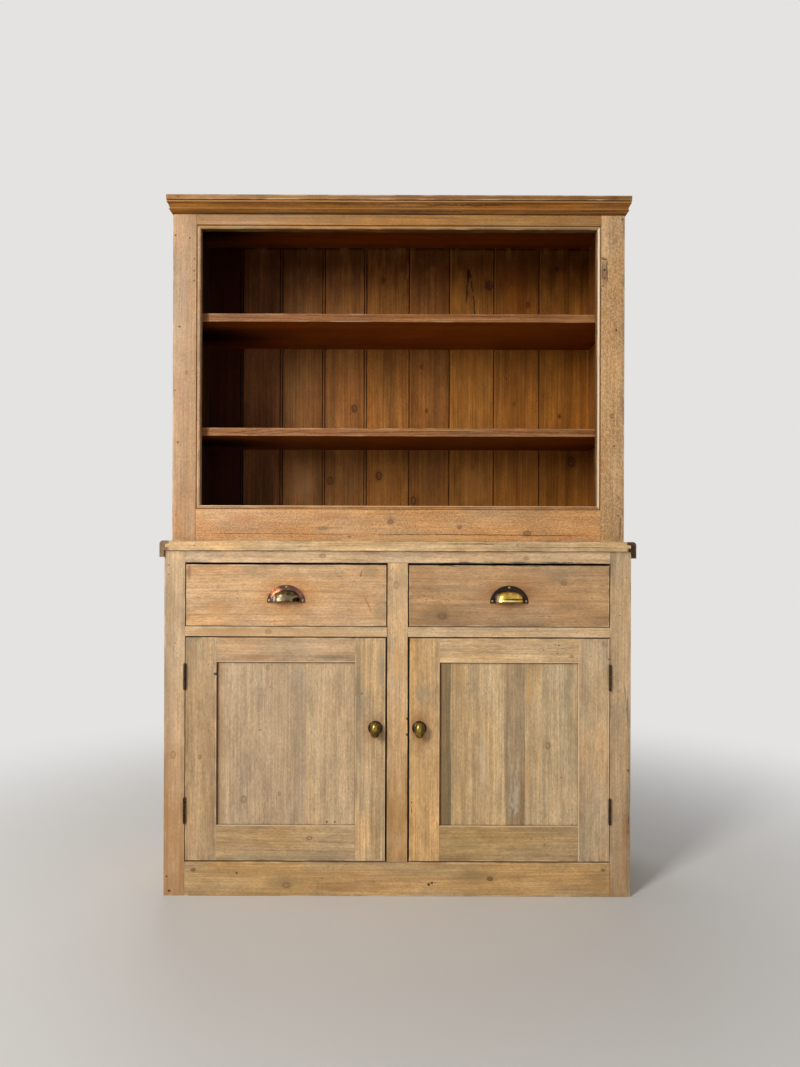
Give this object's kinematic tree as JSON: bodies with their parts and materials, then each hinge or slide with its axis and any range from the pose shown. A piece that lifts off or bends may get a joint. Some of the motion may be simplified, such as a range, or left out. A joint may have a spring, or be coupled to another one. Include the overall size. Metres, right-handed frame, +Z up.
{
  "type": "welsh dresser",
  "caption": "Pine Welsh dresser: open shelves with a boarded back and cornice, standing on a base with drawers and cupboard doors.",
  "frame": {"origin": "centre of the overall bounding box, at floor level", "axes": "+X to the right seen from the front, +Y towards the back, +Z up"},
  "size_m": [1.251, 0.456, 1.858],
  "materials": {
    "base_back_boards": "bare pine",
    "base_floor": "bare pine",
    "base_side_left": "stripped and waxed pine, greyish honey",
    "base_side_right": "stripped and waxed pine, greyish honey",
    "base_stile_left": "stripped and waxed pine, greyish honey",
    "base_stile_right": "stripped and waxed pine, greyish honey",
    "base_top_rail": "stripped and waxed pine, greyish honey",
    "centre_runner": "bare pine",
    "cornice": "waxed pine, orange-brown",
    "door_left_bottom_rail": "stripped and waxed pine, greyish honey",
    "door_left_hinge_stile": "stripped and waxed pine, greyish honey",
    "door_left_lock_stile": "stripped and waxed pine, greyish honey",
    "door_left_panel": "stripped and waxed pine, greyish honey",
    "door_left_top_rail": "stripped and waxed pine, greyish honey",
    "door_right_bottom_rail": "stripped and waxed pine, greyish honey",
    "door_right_hinge_stile": "stripped and waxed pine, greyish honey",
    "door_right_lock_stile": "stripped and waxed pine, greyish honey",
    "door_right_panel": "stripped and waxed pine, greyish honey",
    "door_right_top_rail": "stripped and waxed pine, greyish honey",
    "drawer_left_back": "bare pine",
    "drawer_left_bottom": "bare pine",
    "drawer_left_front": "stripped and waxed pine, greyish honey",
    "drawer_left_pull": "coppery bronzed brass, worn",
    "drawer_left_side_left": "bare pine",
    "drawer_left_side_right": "bare pine",
    "drawer_right_back": "bare pine",
    "drawer_right_bottom": "bare pine",
    "drawer_right_front": "stripped and waxed pine, greyish honey",
    "drawer_right_pull": "aged brass with a polished hood",
    "drawer_right_side_left": "bare pine",
    "drawer_right_side_right": "bare pine",
    "hinge_left_lower_door_leaf": "dark worn iron, matt",
    "hinge_left_lower_frame_leaf": "dark worn iron, matt",
    "hinge_left_upper_door_leaf": "dark worn iron, matt",
    "hinge_left_upper_frame_leaf": "dark worn iron, matt",
    "hinge_right_lower_door_leaf": "dark worn iron, matt",
    "hinge_right_lower_frame_leaf": "dark worn iron, matt",
    "hinge_right_upper_door_leaf": "dark worn iron, matt",
    "hinge_right_upper_frame_leaf": "dark worn iron, matt",
    "knob_left": "aged brass, part polished by use",
    "knob_right": "aged brass, part polished by use",
    "latch_left": "dark worn iron, matt",
    "latch_right": "dark worn iron, matt",
    "mid_rail": "stripped and waxed pine, greyish honey",
    "muntin": "stripped and waxed pine, greyish honey",
    "plinth_rail": "stripped and waxed pine, greyish honey",
    "shelf_lower": "waxed pine, orange-brown",
    "shelf_upper": "waxed pine, orange-brown",
    "top_board": "waxed pine, golden",
    "upper_back_boards": "waxed pine, dark brown",
    "upper_bottom_rail": "waxed pine, golden",
    "upper_floor": "waxed pine, dark brown",
    "upper_side_left": "waxed pine, golden",
    "upper_side_right": "waxed pine, golden",
    "upper_stile_left": "waxed pine, golden",
    "upper_stile_right": "waxed pine, golden",
    "upper_top_rail": "waxed pine, golden",
    "worktop": "waxed pine, golden",
    "worktop_cleat_left": "waxed pine, golden",
    "worktop_cleat_right": "waxed pine, golden"
  },
  "bodies": {
    "carcass": {"base_back_boards": "base_back_boards", "base_floor": "base_floor", "base_side_left": "base_side_left", "base_side_right": "base_side_right", "base_stile_left": "base_stile_left", "base_stile_right": "base_stile_right", "base_top_rail": "base_top_rail", "centre_runner": "centre_runner", "cornice": "cornice", "hinge_left_lower_frame_leaf": "hinge_left_lower_frame_leaf", "hinge_left_upper_frame_leaf": "hinge_left_upper_frame_leaf", "hinge_right_lower_frame_leaf": "hinge_right_lower_frame_leaf", "hinge_right_upper_frame_leaf": "hinge_right_upper_frame_leaf", "mid_rail": "mid_rail", "muntin": "muntin", "plinth_rail": "plinth_rail", "shelf_lower": "shelf_lower", "shelf_upper": "shelf_upper", "top_board": "top_board", "upper_back_boards": "upper_back_boards", "upper_bottom_rail": "upper_bottom_rail", "upper_floor": "upper_floor", "upper_side_left": "upper_side_left", "upper_side_right": "upper_side_right", "upper_stile_left": "upper_stile_left", "upper_stile_right": "upper_stile_right", "upper_top_rail": "upper_top_rail", "worktop": "worktop", "worktop_cleat_left": "worktop_cleat_left", "worktop_cleat_right": "worktop_cleat_right"},
    "door_left": {"door_left_bottom_rail": "door_left_bottom_rail", "door_left_hinge_stile": "door_left_hinge_stile", "door_left_lock_stile": "door_left_lock_stile", "door_left_panel": "door_left_panel", "door_left_top_rail": "door_left_top_rail", "hinge_left_lower_door_leaf": "hinge_left_lower_door_leaf", "hinge_left_upper_door_leaf": "hinge_left_upper_door_leaf"},
    "door_right": {"door_right_bottom_rail": "door_right_bottom_rail", "door_right_hinge_stile": "door_right_hinge_stile", "door_right_lock_stile": "door_right_lock_stile", "door_right_panel": "door_right_panel", "door_right_top_rail": "door_right_top_rail", "hinge_right_lower_door_leaf": "hinge_right_lower_door_leaf", "hinge_right_upper_door_leaf": "hinge_right_upper_door_leaf"},
    "knob_left": {"knob_left": "knob_left", "latch_left": "latch_left"},
    "knob_right": {"knob_right": "knob_right", "latch_right": "latch_right"},
    "drawer_left": {"drawer_left_back": "drawer_left_back", "drawer_left_bottom": "drawer_left_bottom", "drawer_left_front": "drawer_left_front", "drawer_left_pull": "drawer_left_pull", "drawer_left_side_left": "drawer_left_side_left", "drawer_left_side_right": "drawer_left_side_right"},
    "drawer_right": {"drawer_right_back": "drawer_right_back", "drawer_right_bottom": "drawer_right_bottom", "drawer_right_front": "drawer_right_front", "drawer_right_pull": "drawer_right_pull", "drawer_right_side_left": "drawer_right_side_left", "drawer_right_side_right": "drawer_right_side_right"}
  },
  "joints": [
    {"name": "drawer_left_slide", "type": "slide", "parent": "carcass", "child": "drawer_left", "axis": [0, -1, 0], "range_m": [0, 0.3]},
    {"name": "door_left_hinge", "type": "hinge", "parent": "carcass", "child": "door_left", "pos_m": [-0.55525, -0.196, 0.3835], "axis": [0, 0, -1], "range_deg": [0, 170]},
    {"name": "knob_left_turn", "type": "hinge", "parent": "door_left", "child": "knob_left", "pos_m": [-0.0575, -0.192, 0.44], "axis": [0, -1, 0], "range_deg": [0, 90]},
    {"name": "drawer_right_slide", "type": "slide", "parent": "carcass", "child": "drawer_right", "axis": [0, -1, 0], "range_m": [0, 0.3]},
    {"name": "door_right_hinge", "type": "hinge", "parent": "carcass", "child": "door_right", "pos_m": [0.55525, -0.196, 0.3835], "axis": [0, 0, 1], "range_deg": [0, 170]},
    {"name": "knob_right_turn", "type": "hinge", "parent": "door_right", "child": "knob_right", "pos_m": [0.0575, -0.192, 0.44], "axis": [0, 1, 0], "range_deg": [0, 90]}
  ]
}
